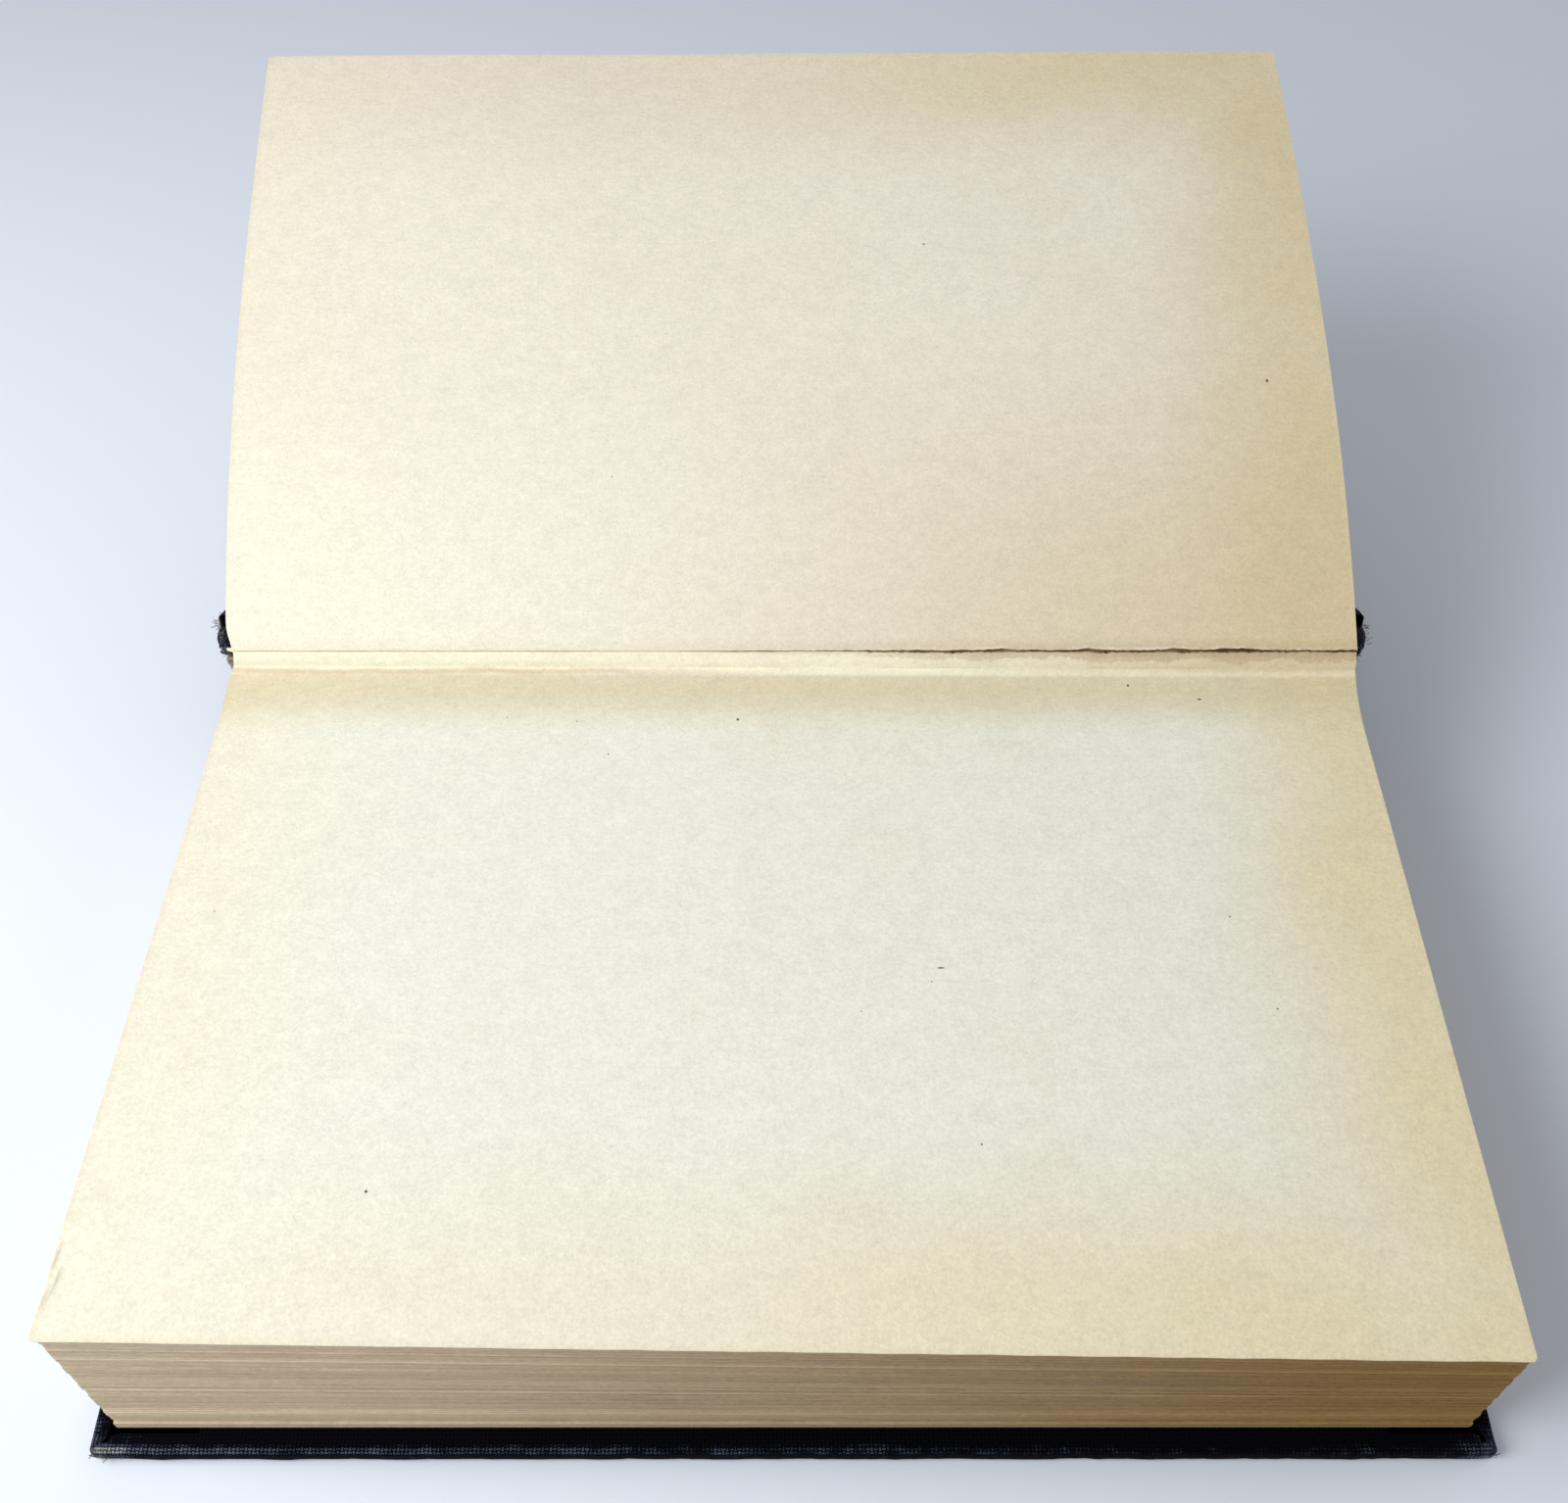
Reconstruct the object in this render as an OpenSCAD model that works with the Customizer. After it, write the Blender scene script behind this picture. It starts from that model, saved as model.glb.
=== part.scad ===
// Cloth-bound hardcover book, lying open on its back cover.
// X runs along the spine, -Y points to the fore edge of the pages and Z is up.
// The origin is the middle of the back cover's outer face, on the table.

/* [Text block] */
// Height of the trimmed pages, head to tail
page_h = 190; // [150:1:230]
// Depth of the pages, shoulder to fore edge
page_w = 119; // [95:1:150]
// Thickness of the sewn pages between their flat sides
pages_t = 28.7; // [14:0.1:45]
// Number of sewn gatherings
gatherings = 16; // [8:1:24]
// How far the gatherings stand out of line at the fore edge
edge_stagger = 0.3; // [0.05:0.05:0.6]
// Height of a backed shoulder over the flat side of the pages
shoulder_h = 2.7; // [2:0.1:2.7]
// Depth of the slope that leads up to a shoulder
shoulder_run = 5; // [3:0.1:5]
// How far the rounded spine stands out behind the shoulders
spine_round = 2.5; // [1.5:0.1:4]
// How far the top of the worn block is turned against its foot
block_turn = -0.8; // [-1:0.1:1]

/* [Leaves] */
// Thickness of an endpaper leaf
paper_t = 0.25; // [0.15:0.05:0.4]
// How far the first leaf and the front flyleaf pass the pages at head and tail
leaf_over = 1.3; // [0.5:0.1:2]
// How far the first leaf passes the pages at the fore edge
leaf_over_fore = 1; // [0.2:0.1:2]
// Height of the lip that the front flyleaf's fold pulls up at the gutter
lip_h = 2.7; // [1:0.1:4]
// Slope of that lip
lip_slope = 98; // [80:1:110]
// Length of the front flyleaf, fold to free edge
flyleaf_l = 121.5; // [95:0.5:150]
// Slope of the front flyleaf at its fold
flyleaf_root_slope = 37; // [25:1:50]
// Slope of the front flyleaf at its free edge
flyleaf_tip_slope = 16.5; // [5:0.5:24]
// How far the front flyleaf is out of square with the gutter
flyleaf_skew = 1.45; // [-2:0.05:2]
// How far the free edge drops from its middle to its right end
flyleaf_twist = 1.35; // [-4:0.05:4]

/* [Covers] */
// How far the covers pass the pages at the fore edge
square_fore = 3.6; // [2:0.1:6]
// How far the covers pass the pages at head and tail
square_ends = 3.5; // [2:0.1:6]
// Thickness of the bare board
board_t = 2.15; // [1.5:0.05:3.5]
// Thickness of the cloth
cloth_t = 0.35; // [0.2:0.05:0.5]
// Width of the cloth turned in over the board
turn_in = 15; // [8:1:25]
// Distance from the hinge line to the board
joint_w = 6.9; // [6.8:0.1:9]
// Radius of the worn corners of the covers
corner_r = 2.5; // [1:0.1:6]

/* [Spine] */
// Thickness of the lining glued over the spine of the pages
lining_t = 0.3; // [0.2:0.05:0.5]
// Glue film on both sides of the hollow spine: pages to lining, stiffener to cloth
glue_t = 0.05; // [0.05:0.05:0.15]
// How far the lining stops short of head and tail
lining_short = 12; // [5:1:25]
// Hollow between the lining and the stiffener
hollow = 0.5; // [0.3:0.1:1]
// Thickness of the stiffener card
stiffener_t = 0.6; // [0.4:0.1:1]
// How far the stiffener stops short of each hinge line
stiffener_short = 3; // [2:0.5:6]

/* [Fits] */
// Gap between leaves that only lie on each other
leaf_gap = 0.1; // [0.05:0.05:0.2]
// Gap between the joint strip and its hinge line
strip_gap = 0.3; // [0.3:0.05:0.4]
// Gap between the spine cloth and the hinge lines
hinge_gap = 0.5; // [0.45:0.05:0.6]

/* [Hidden] */
$fn = 48;

paper_colour = "#e9dfc0";
pages_colour = "#b59a73";
cloth_colour = "#15161d";
board_colour = "#8d8471";
lining_colour = "#cfc6b0";

// One cover, inside to outside: pastedown, turned-in cloth, board, cloth
cover_t = 2 * cloth_t + board_t;
cover_stack = cover_t + paper_t;
cover_h = page_h + 2 * square_ends;

// Levels above the table
rear_leaf_z = cover_stack + leaf_gap;
pages_z = rear_leaf_z + paper_t;
pages_top = pages_z + pages_t;
page_z = pages_top + paper_t;
front_in_z = page_z + paper_t + 2 * leaf_gap;
front_out_z = front_in_z + cover_stack;
mid_z = front_out_z / 2;

// Radii of the rounded spine, from its chord between the two shoulders
ridge_half = pages_t / 2 + shoulder_h;
ridge_mid = (pages_z + pages_top) / 2;
spine_r = (ridge_half * ridge_half + spine_round * spine_round) / (2 * spine_round);
spine_half_angle = asin(ridge_half / spine_r);
lining_r = spine_r + glue_t;
stiffener_r = lining_r + lining_t + hollow;
wrap_r = stiffener_r + stiffener_t + glue_t;

// Hinge lines, in the cloth at the level of each cover's outer face
hinge_half = mid_z - cloth_t / 2;
hinge_out = sqrt(pow(wrap_r + cloth_t / 2, 2) - pow(hinge_half, 2)) - spine_r * cos(spine_half_angle);

// Depths, with the back cover centred on the origin
board_w = page_w + hinge_out - joint_w + square_fore - cloth_t;
board_back = (board_w - cloth_t) / 2;
board_fore = board_back - board_w;
cover_fore = board_fore - cloth_t;
hinge_y = board_back + joint_w;
spine_y = hinge_y - hinge_out;
fore_y = spine_y - page_w;
spine_centre_y = spine_y - spine_r * cos(spine_half_angle);

// The open front cover comes to rest with its fore edge on the table
cover_reach = hinge_y - cover_fore;
hinge_z = front_out_z - cloth_t / 2;
open_slope = asin(hinge_z / norm([cover_reach, cloth_t / 2])) - atan(cloth_t / 2 / cover_reach);

// A flat outline in (Y, Z) carried along the spine
module along_spine(length) {
    rotate([90, 0, 90])
        linear_extrude(length, center = true)
            children();
}

// Points of a spine arc about a level, from its lower to its upper end
function spine_arc(radius, half_angle, level, steps = 16) = [
    for (i = [0 : steps])
        let (a = half_angle * (2 * i / steps - 1))
            [spine_centre_y + radius * cos(a), level + radius * sin(a)]
];

function reversed(points) = [for (i = [len(points) - 1 : -1 : 0]) points[i]];

// A curved layer of the spine between two radii
module spine_layer(inner_r, thickness, half_angle, level = mid_z) {
    polygon(concat(
        spine_arc(inner_r + thickness, half_angle, level),
        reversed(spine_arc(inner_r, half_angle, level))
    ));
}

// Slope up to a shoulder, as [depth, rise] from the flat page to the ridge
function shoulder(steps = 8) = [
    for (i = [0 : steps])
        let (t = i / steps)
            [spine_y - shoulder_run * (1 - t), shoulder_h * pow(t, 1.7)]
];

// A point given from the middle of the gutter, turned about it
function turned(p, angle) = [
    p[0] * cos(angle) - p[1] * sin(angle),
    spine_y + p[0] * sin(angle) + p[1] * cos(angle)
];

// Plan of pages that keep to the spine while their fore edge is turned
module turned_plan(height, depth, angle) {
    back = spine_y + 2 * spine_round;
    polygon([
        turned([-height / 2, -depth], angle),
        turned([height / 2, -depth], angle),
        [height / 2, spine_y],
        [height / 2, back],
        [-height / 2, back],
        [-height / 2, spine_y]
    ]);
}

// Depth of one gathering, a little out of line with its neighbours
function gathering_depth(i) = page_w - edge_stagger * (0.5 + 0.5 * sin(i * 137));

// Level of the foot of one gathering
function gathering_z(i) = pages_z + pages_t * i / gatherings;

// Round back of the pages between two levels
function spine_back(low, high, steps = 4) = [
    for (i = [0 : steps])
        let (z = low + (high - low) * i / steps)
            [spine_centre_y + sqrt(pow(spine_r, 2) - pow(z - ridge_mid, 2)), z]
];

// Outline of one gathering in (Y, Z); the first and the last carry a shoulder
module gathering_outline(i) {
    far = 2 * page_w;
    low = gathering_z(i);
    high = gathering_z(i + 1);
    is_first = i == 0;
    is_last = i == gatherings - 1;
    upper = is_last ? [for (p = shoulder()) [p[0], high + p[1]]] : [];
    lower = is_first ? reversed([for (p = shoulder()) [p[0], low - p[1]]]) : [];
    back = spine_back(low - (is_first ? shoulder_h : 0), high + (is_last ? shoulder_h : 0));
    polygon(concat([[-far, low], [-far, high]], upper, reversed(back), lower));
}

// Sewn pages, each gathering standing at its own depth and turned a little further than the one below
module text_block() {
    color(pages_colour)
        for (i = [0 : gatherings - 1])
            intersection() {
                along_spine(2 * page_h)
                    gathering_outline(i);
                linear_extrude(2 * page_z)
                    turned_plan(page_h, gathering_depth(i), block_turn * (i + 1) / gatherings);
            }
}

// Blank leaf that follows the top of the pages up to the front shoulder
module first_leaf() {
    lower = concat(
        [[-2 * page_w, pages_top]],
        [for (p = shoulder()) [p[0], pages_top + p[1]]]
    );
    color(paper_colour)
        intersection() {
            along_spine(2 * page_h)
                polygon(concat(lower, reversed([for (p = lower) [p[0], p[1] + paper_t]])));
            linear_extrude(2 * page_z)
                turned_plan(page_h + 2 * leaf_over, page_w + leaf_over_fore, block_turn);
        }
}

// Slope of the standing flyleaf at a distance s past its fold
function flyleaf_slope(s) =
    flyleaf_tip_slope + (flyleaf_root_slope - flyleaf_tip_slope) * pow(max(0, 1 - s / flyleaf_l), 2);

// Course of the flyleaf past its fold, as [depth, rise] after each of equal steps
function flyleaf_course(length, steps, i = 0, at = [0, 0]) =
    i == steps ? [at] :
    let (a = flyleaf_slope(length * (i + 0.5) / steps))
    concat([at], flyleaf_course(length, steps, i + 1, at + length / steps * [cos(a), sin(a)]));

// One long edge of the flyleaf, lip and leaf, as [x, y, z] raised by a height over its lower face
function flyleaf_edge(side, steps, raised) =
    let (
        half = page_h / 2 + leaf_over,
        length = (flyleaf_l + side * half * sin(flyleaf_skew)) * cos(flyleaf_skew),
        course = flyleaf_course(length, steps),
        root = [spine_y - 4 * paper_t, pages_top + shoulder_h + paper_t + leaf_gap],
        fold = root + lip_h * [cos(lip_slope), sin(lip_slope)]
    )
    concat(
        [[side * half, root[0] - raised * sin(lip_slope), root[1] + raised * cos(lip_slope)]],
        [for (i = [0 : steps])
            let (
                s = length * i / steps,
                a = i == 0 ? (lip_slope + flyleaf_root_slope) / 2 : flyleaf_slope(s)
            )
            [
                side * half - s * tan(flyleaf_skew),
                fold[0] + course[i][0] - raised * sin(a),
                fold[1] + course[i][1] + raised * cos(a) - side * flyleaf_twist * i / steps
            ]]
    );

// Blank leaf that stands up from the gutter fold and droops towards its free edge
module front_flyleaf() {
    steps = 24;
    rings = steps + 2;
    edges = [
        flyleaf_edge(-1, steps, 0),
        flyleaf_edge(1, steps, 0),
        flyleaf_edge(1, steps, paper_t),
        flyleaf_edge(-1, steps, paper_t)
    ];
    skin = [for (i = [0 : rings - 2], k = [0 : 3], half = [0, 1])
        let (
            a = 4 * i + k,
            b = 4 * i + (k + 1) % 4
        )
        half == 0 ? [a, a + 4, b] : [b, a + 4, b + 4]];
    last = 4 * (rings - 1);
    ends = [[0, 1, 2], [0, 2, 3], [last, last + 2, last + 1], [last, last + 3, last + 2]];
    color(paper_colour)
        polyhedron([for (i = [0 : rings - 1], k = [0 : 3]) edges[k][i]], concat(skin, ends));
}

// Blank leaf under the pages
module rear_flyleaf() {
    color(paper_colour)
        translate([-page_h / 2, fore_y, rear_leaf_z])
            cube([page_h, page_w - shoulder_run, paper_t]);
}

// Open-weave cloth glued over the spine of the pages
module spine_lining() {
    color(lining_colour)
        along_spine(page_h - 2 * lining_short)
            spine_layer(lining_r, lining_t, spine_half_angle, ridge_mid);
}

// Section at the stiffener, which stops short of both hinge lines
module stiffener_section(thickness) {
    spine_layer(stiffener_r, thickness, asin((hinge_half - stiffener_short) / stiffener_r));
}

// Card strip that keeps the spine of the cover in shape
module spine_stiffener() {
    color(board_colour)
        along_spine(cover_h - 2 * cloth_t)
            stiffener_section(stiffener_t);
}

// Cover cloth round the spine, turned in over the ends of the stiffener
module spine_cloth() {
    color(cloth_colour) {
        along_spine(cover_h)
            spine_layer(wrap_r, cloth_t, asin((hinge_half - hinge_gap) / wrap_r));
        for (side = [-1, 1])
            translate([side * (cover_h - cloth_t) / 2, 0, 0])
                along_spine(cloth_t)
                    stiffener_section(wrap_r + cloth_t / 2 - stiffener_r);
    }
}

// Plan of a cover layer, with its two fore-edge corners worn round
module cover_plan(height, fore, back, radius) {
    translate([-height / 2, fore + radius])
        square([height, back - fore - radius]);
    translate([radius - height / 2, fore])
        square([height - 2 * radius, 2 * radius]);
    for (side = [-1, 1])
        translate([side * (height / 2 - radius), fore + radius])
            circle(radius);
}

// Bare board, outer face down
module board() {
    translate([0, 0, cloth_t])
        linear_extrude(board_t)
            cover_plan(cover_h - 2 * cloth_t, board_fore, board_back, corner_r - cloth_t);
}

// Inner face between the turn-ins, as a plan
module between_turn_ins(back) {
    translate([turn_in - cover_h / 2, cover_fore + turn_in])
        square([cover_h - 2 * turn_in, back - cover_fore - turn_in]);
}

// Cloth round one board: outer face, three wrapped edges, turn-ins and the strip across the joint
module cover_cloth() {
    strip_start = board_back - turn_in;
    difference() {
        linear_extrude(cover_t)
            cover_plan(cover_h, cover_fore, board_back, corner_r);
        board();
        translate([0, 0, cloth_t + board_t])
            linear_extrude(2 * cloth_t)
                between_turn_ins(hinge_y);
    }
    translate([-cover_h / 2, strip_start, 0])
        cube([cover_h, hinge_y - strip_gap - strip_start, cloth_t]);
}

// Endpaper half pasted over the turn-ins and levelled between them
module pastedown() {
    translate([-page_h / 2, cover_fore + square_fore, cover_t])
        cube([page_h, board_back - cover_fore - square_fore, paper_t]);
    translate([0, 0, cloth_t + board_t])
        linear_extrude(cloth_t)
            between_turn_ins(board_back);
}

// Carries a cover layer from the back of the book to the open front cover
module open_front() {
    translate([0, hinge_y, hinge_z])
        rotate([-180 - open_slope, 0, 0])
            translate([0, -hinge_y, -hinge_z])
                translate([0, 0, front_out_z])
                    mirror([0, 0, 1])
                        children();
}

module front_board() {
    color(board_colour)
        open_front()
            board();
}

module front_cloth() {
    color(cloth_colour)
        open_front()
            cover_cloth();
}

module front_pastedown() {
    color(paper_colour)
        open_front()
            pastedown();
}

module back_board() {
    color(board_colour)
        board();
}

module back_cloth() {
    color(cloth_colour)
        cover_cloth();
}

module back_pastedown() {
    color(paper_colour)
        pastedown();
}

text_block();
first_leaf();
front_flyleaf();
rear_flyleaf();
spine_lining();
spine_stiffener();
spine_cloth();
front_board();
front_cloth();
front_pastedown();
back_board();
back_cloth();
back_pastedown();
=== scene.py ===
import math

import bmesh
import bpy
import numpy as np
from mathutils import Matrix, Vector


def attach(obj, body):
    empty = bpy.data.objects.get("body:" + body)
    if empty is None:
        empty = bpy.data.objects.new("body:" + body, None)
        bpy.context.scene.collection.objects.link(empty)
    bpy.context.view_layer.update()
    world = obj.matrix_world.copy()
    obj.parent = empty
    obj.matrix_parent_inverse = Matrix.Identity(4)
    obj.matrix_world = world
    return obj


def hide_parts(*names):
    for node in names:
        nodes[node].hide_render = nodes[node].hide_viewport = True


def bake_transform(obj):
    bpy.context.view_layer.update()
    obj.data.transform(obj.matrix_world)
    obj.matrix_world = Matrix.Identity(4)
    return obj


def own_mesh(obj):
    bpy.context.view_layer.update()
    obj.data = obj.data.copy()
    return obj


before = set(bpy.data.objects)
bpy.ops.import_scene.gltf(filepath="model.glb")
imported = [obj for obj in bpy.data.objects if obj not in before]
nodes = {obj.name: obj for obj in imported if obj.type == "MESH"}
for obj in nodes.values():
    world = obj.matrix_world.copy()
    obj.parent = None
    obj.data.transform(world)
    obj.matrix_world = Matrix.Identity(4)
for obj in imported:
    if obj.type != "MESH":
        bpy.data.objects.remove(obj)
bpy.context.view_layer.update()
MM = 0.001

# The pages: 170 leaves of book paper in gatherings, trimmed once and since worn loose and cocked.
# The back was rounded and hammered out into shoulders, so the leaves fan towards the spine.
# A tree of nodes lays one leaf on each level and bends it to the rounded back.
LEAF_COUNT = 170
PAGE_H, PAGE_W, PAGES_T = 190.0, 119.0, 28.7
PAGES_Z, SPINE_Y = 3.45, 63.6384
PAGES_TOP = PAGES_Z + PAGES_T
SHOULDER_H, SHOULDER_RUN = 2.7, 5.0
RIDGE_MID, RIDGE_HALF = PAGES_Z + PAGES_T / 2, PAGES_T / 2 + SHOULDER_H
SPINE_R, SPINE_CENTRE = 59.3905, 6.74792
BLOCK_TURN = math.radians(-0.8)
GATHERINGS, GATHERING_STEP, EDGE_STAGGER, EDGE_SPREAD = 16, 137.0, 0.16, 0.025
PROUD_LEVELS = {0.875: 0.03, 0.785: 0.14, 0.69: 0.03, 0.44: 0.03, 0.27: 0.03, 0.165: 0.05}
LAST_LEAVES, LAST_PROUD, LAST_TONE = 0.05, 0.25, 0.22
GAP_SHARE, GAP_DEPTH, GAP_SHADE = 0.02, 0.25, 0.3
MEAN_TONE, LEAF_TONE, GATHERING_TONE = 0.46, 0.13, 0.06
PROUD_HIGHLIGHT, PROUD_HIGHLIGHT_BY_STEP = 0.3, 3
END_FAN, END_TRIM, END_SPREAD = 1.3, -0.04, 0.02
LEAF_FILL, LEAF_WAVE = 0.86, 0.22
POINT_CROWDING, BEND_POWER = 2.2, 1.7


class Field:
    """One socket of a node tree, ready for sums with numbers and other sockets."""

    def __init__(self, tree, socket=None):
        self.tree, self.socket = tree, socket

    def node(self, kind, settings=None, sockets=None, out=0):
        """Any other node: its settings first, then the values or links of its sockets."""
        made = self.tree.nodes.new(kind)
        for key, value in (settings or {}).items():
            setattr(made, key, value)
        for key, value in (sockets or {}).items():
            if isinstance(value, Field):
                self.tree.links.new(value.socket, made.inputs[key])
            else:
                made.inputs[key].default_value = value
        return Field(self.tree, made.outputs[out])

    def sum(self, operation, a, b=0.0):
        return self.node("ShaderNodeMath", {"operation": operation}, {0: a, 1: b})

    def __add__(self, other):
        return self.sum("ADD", self, other)

    def __sub__(self, other):
        return self.sum("SUBTRACT", self, other)

    def __rsub__(self, other):
        return self.sum("SUBTRACT", other, self)

    def __mul__(self, other):
        return self.sum("MULTIPLY", self, other)

    def __truediv__(self, other):
        return self.sum("DIVIDE", self, other)

    def __pow__(self, other):
        return self.sum("POWER", self, other)

    __radd__, __rmul__ = __add__, __mul__

    def below(self, other):
        return self.sum("MINIMUM", self, other)

    def above(self, other):
        return self.sum("MAXIMUM", self, other)

    def size(self):
        return self.sum("ABSOLUTE", self)

    def rise(self, low, high):
        """0 up to low, 1 from high, smooth between; low may be the larger."""
        return self.node("ShaderNodeMapRange", {"interpolation_type": "SMOOTHSTEP"},
                         {0: self, 1: low, 2: high})

    def part(self, axis):
        return self.node("ShaderNodeSeparateXYZ", None, {0: self}, axis)

    def stretched(self, by, shift=(0, 0, 0)):
        return self.node("ShaderNodeMapping", None, {"Vector": self, "Location": shift, "Scale": by})

    def noise(self, scale, detail=2.0, roughness=0.5):
        return self.node("ShaderNodeTexNoise", None, {
            "Vector": self, "Scale": scale, "Detail": detail, "Roughness": roughness})

    def mix(self, colour_a, colour_b):
        """The colour at 0 and the colour at 1, mixed by this value."""
        return self.node("ShaderNodeMix", {"data_type": "RGBA"}, {0: self, 6: colour_a, 7: colour_b}, 2)


def start_finish(name, roughness, specular):
    """A new material, its Object coordinates and its shader node, with the even values set."""
    material = bpy.data.materials.new(name)
    material.use_nodes = True
    shader = material.node_tree.nodes["Principled BSDF"]
    shader.inputs["Roughness"].default_value = roughness
    shader.inputs["Specular IOR Level"].default_value = specular
    place = Field(material.node_tree).node("ShaderNodeTexCoord", None, None, "Object")
    return material, place, shader


def feed(shader, **fields):
    for name, field in fields.items():
        shader.id_data.links.new(field.socket, shader.inputs[name.replace("_", " ")])


def bump(height, strength, depth):
    return height.node("ShaderNodeBump", None, {"Strength": strength, "Distance": depth, "Height": height})


def read_mark(place, name):
    """A value stored on the piece's own points."""
    return place.node("ShaderNodeAttribute", {"attribute_name": name}, None, "Fac")


def page_edge_finish():
    """Toned, dusty page edges: every leaf has its own tone, a few leaves that stand proud carry a painted
    highlight, the recessed gap carries painted shade, and the tail side is browner.
    """
    material, place, shader = start_finish("toned_page_edges", 0.9, 0.2)
    tone = read_mark(place, "edge_tone_and_shading")
    tail = place.part(0).rise(-0.1, 0.1)
    streak = place.stretched((120, 120, 4200)).noise(1.0, 4.0, 0.7)
    dust = place.stretched((1000, 1000, 2400)).noise(1.0, 4.0, 0.75)
    patch = place.stretched((16, 16, 70)).noise(1.0, 3.0, 0.5)
    level = (tone * 0.55 + streak * 0.6 + patch * 0.3 + dust * 0.65 - 0.5).below(1.0).above(0.0)
    head_colour = level.mix((0.32, 0.23, 0.14, 1), (0.90, 0.76, 0.57, 1))
    tail_colour = level.mix((0.085, 0.034, 0.004, 1), (0.52, 0.32, 0.115, 1))
    colour = tail.mix(head_colour, tail_colour)
    feed(shader, Base_Color=colour, Normal=bump(streak + dust, 0.6, 0.00014))
    return material


def leaf_tree(material):
    """Lays a leaf on every level point and bends it to the rounded, cocked block."""
    tree = bpy.data.node_groups.new("page_stack", "GeometryNodeTree")
    face = tree.interface
    face.new_socket("Levels", in_out="INPUT", socket_type="NodeSocketGeometry")
    for name in ("Height", "Leaf thickness", "Spine line", "Depth", "Shoulder run", "Fan", "Turn"):
        face.new_socket(name, in_out="INPUT", socket_type="NodeSocketFloat")
    face.new_socket("Pages", in_out="OUTPUT", socket_type="NodeSocketGeometry")
    given = tree.nodes.new("NodeGroupInput")
    asked = {s.name: Field(tree, s) for s in given.outputs if s.name}
    f = Field(tree)

    def mark(name):
        return f.node("GeometryNodeInputNamedAttribute", {"data_type": "FLOAT"}, {"Name": name})

    leaf = f.node("GeometryNodeMeshCube", None,
                  {"Size": (1, 1, 1), "Vertices X": 16, "Vertices Y": 9, "Vertices Z": 2})
    laid = f.node("GeometryNodeInstanceOnPoints", None, {"Points": asked["Levels"], "Instance": leaf})
    loose = f.node("GeometryNodeRealizeInstances", None, {0: laid})
    here = f.node("GeometryNodeInputPosition")
    level, proud, ends = mark("level"), mark("fore_set"), mark("end_set")
    along = here.part(0) * (asked["Height"] + ends)
    share = 0.5 - here.part(1)
    inward = 1 - share ** POINT_CROWDING
    upper = here.part(2) - level
    flat_z = level + upper * asked["Leaf thickness"]
    from_mid = flat_z - RIDGE_MID * MM
    back = ((SPINE_R * MM) ** 2 - (from_mid * (1 + asked["Fan"])) ** 2) ** 0.5 + SPINE_CENTRE * MM
    fore = asked["Spine line"] - asked["Depth"] - proud
    y = fore + (back - fore) * inward
    bend = (1 - (asked["Spine line"] - y) / asked["Shoulder run"]).above(0.0).below(1.0) ** BEND_POWER
    turned = ((asked["Spine line"] - y) / asked["Depth"]).above(0.0)
    turn = asked["Turn"] * ((level - PAGES_Z * MM) / (PAGES_T * MM))
    wave_at = f.node("ShaderNodeCombineXYZ", None, {0: along * 14.0, 1: y * 4.0, 2: level * 90.0})
    wave = wave_at.noise(1.0, 1.0)
    z = from_mid * (1 + asked["Fan"] * bend) + RIDGE_MID * MM + (wave - 0.5) * (LEAF_WAVE * MM) * turned
    place = f.node("ShaderNodeCombineXYZ", None, {
        0: along + turned * asked["Depth"] * turn, 1: y + turned * along * turn, 2: z})
    bent = f.node("GeometryNodeSetPosition", None, {"Geometry": loose, "Position": place})
    done = f.node("GeometryNodeSetMaterial", None, {"Geometry": bent, "Material": material})
    tree.links.new(done.socket, tree.nodes.new("NodeGroupOutput").inputs[0])
    return tree


def grown(name, mesh, tree, **inputs):
    """The plain mesh that a tree of nodes makes from a source mesh, as a new piece."""
    source = bpy.data.objects.new(name + "_source", mesh)
    bpy.context.scene.collection.objects.link(source)
    modifier = source.modifiers.new("made", "NODES")
    modifier.node_group = tree
    for socket in tree.interface.items_tree:
        if socket.in_out == "INPUT" and socket.name in inputs:
            modifier[socket.identifier] = inputs[socket.name]
    bpy.context.view_layer.update()
    view = bpy.context.evaluated_depsgraph_get()
    made = bpy.data.meshes.new_from_object(source.evaluated_get(view), preserve_all_data_layers=True,
                                           depsgraph=view)
    source.modifiers.remove(modifier)
    bpy.data.objects.remove(source)
    made.name = name
    piece = bpy.data.objects.new(name, made)
    bpy.context.scene.collection.objects.link(piece)
    return piece


draw = np.random.default_rng(7)
share = (np.arange(LEAF_COUNT) + 0.5) / LEAF_COUNT
gathering = (share * GATHERINGS).astype(int)
fore_set = -EDGE_STAGGER * (0.5 + 0.5 * np.sin(np.radians(gathering * GATHERING_STEP)))
fore_set += draw.normal(0, EDGE_SPREAD, LEAF_COUNT)
edge_tone_and_shading = MEAN_TONE + LEAF_TONE * draw.normal(0, 1, LEAF_COUNT)
edge_tone_and_shading += GATHERING_TONE * draw.normal(0, 1, GATHERINGS)[gathering]
# Leaves that stand proud get a painted highlight on their edges, stronger the further they stand out.
for at, step in PROUD_LEVELS.items():
    nearest = np.argmin(abs(share - at))
    fore_set[nearest] += step
    edge_tone_and_shading[nearest] += PROUD_HIGHLIGHT + PROUD_HIGHLIGHT_BY_STEP * step
last = share < LAST_LEAVES
fore_set[last] += LAST_PROUD
edge_tone_and_shading[last] += LAST_TONE
# The leaves in the recessed gap above the last leaves are darkened by painted shade.
gap = (share > LAST_LEAVES) & (share < LAST_LEAVES + GAP_SHARE)
fore_set[gap] -= GAP_DEPTH
edge_tone_and_shading[gap] -= GAP_SHADE
levels = bpy.data.meshes.new("leaf_levels")
levels.from_pydata([(0, 0, (PAGES_Z + PAGES_T * u) * MM) for u in share], [], [])
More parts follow.
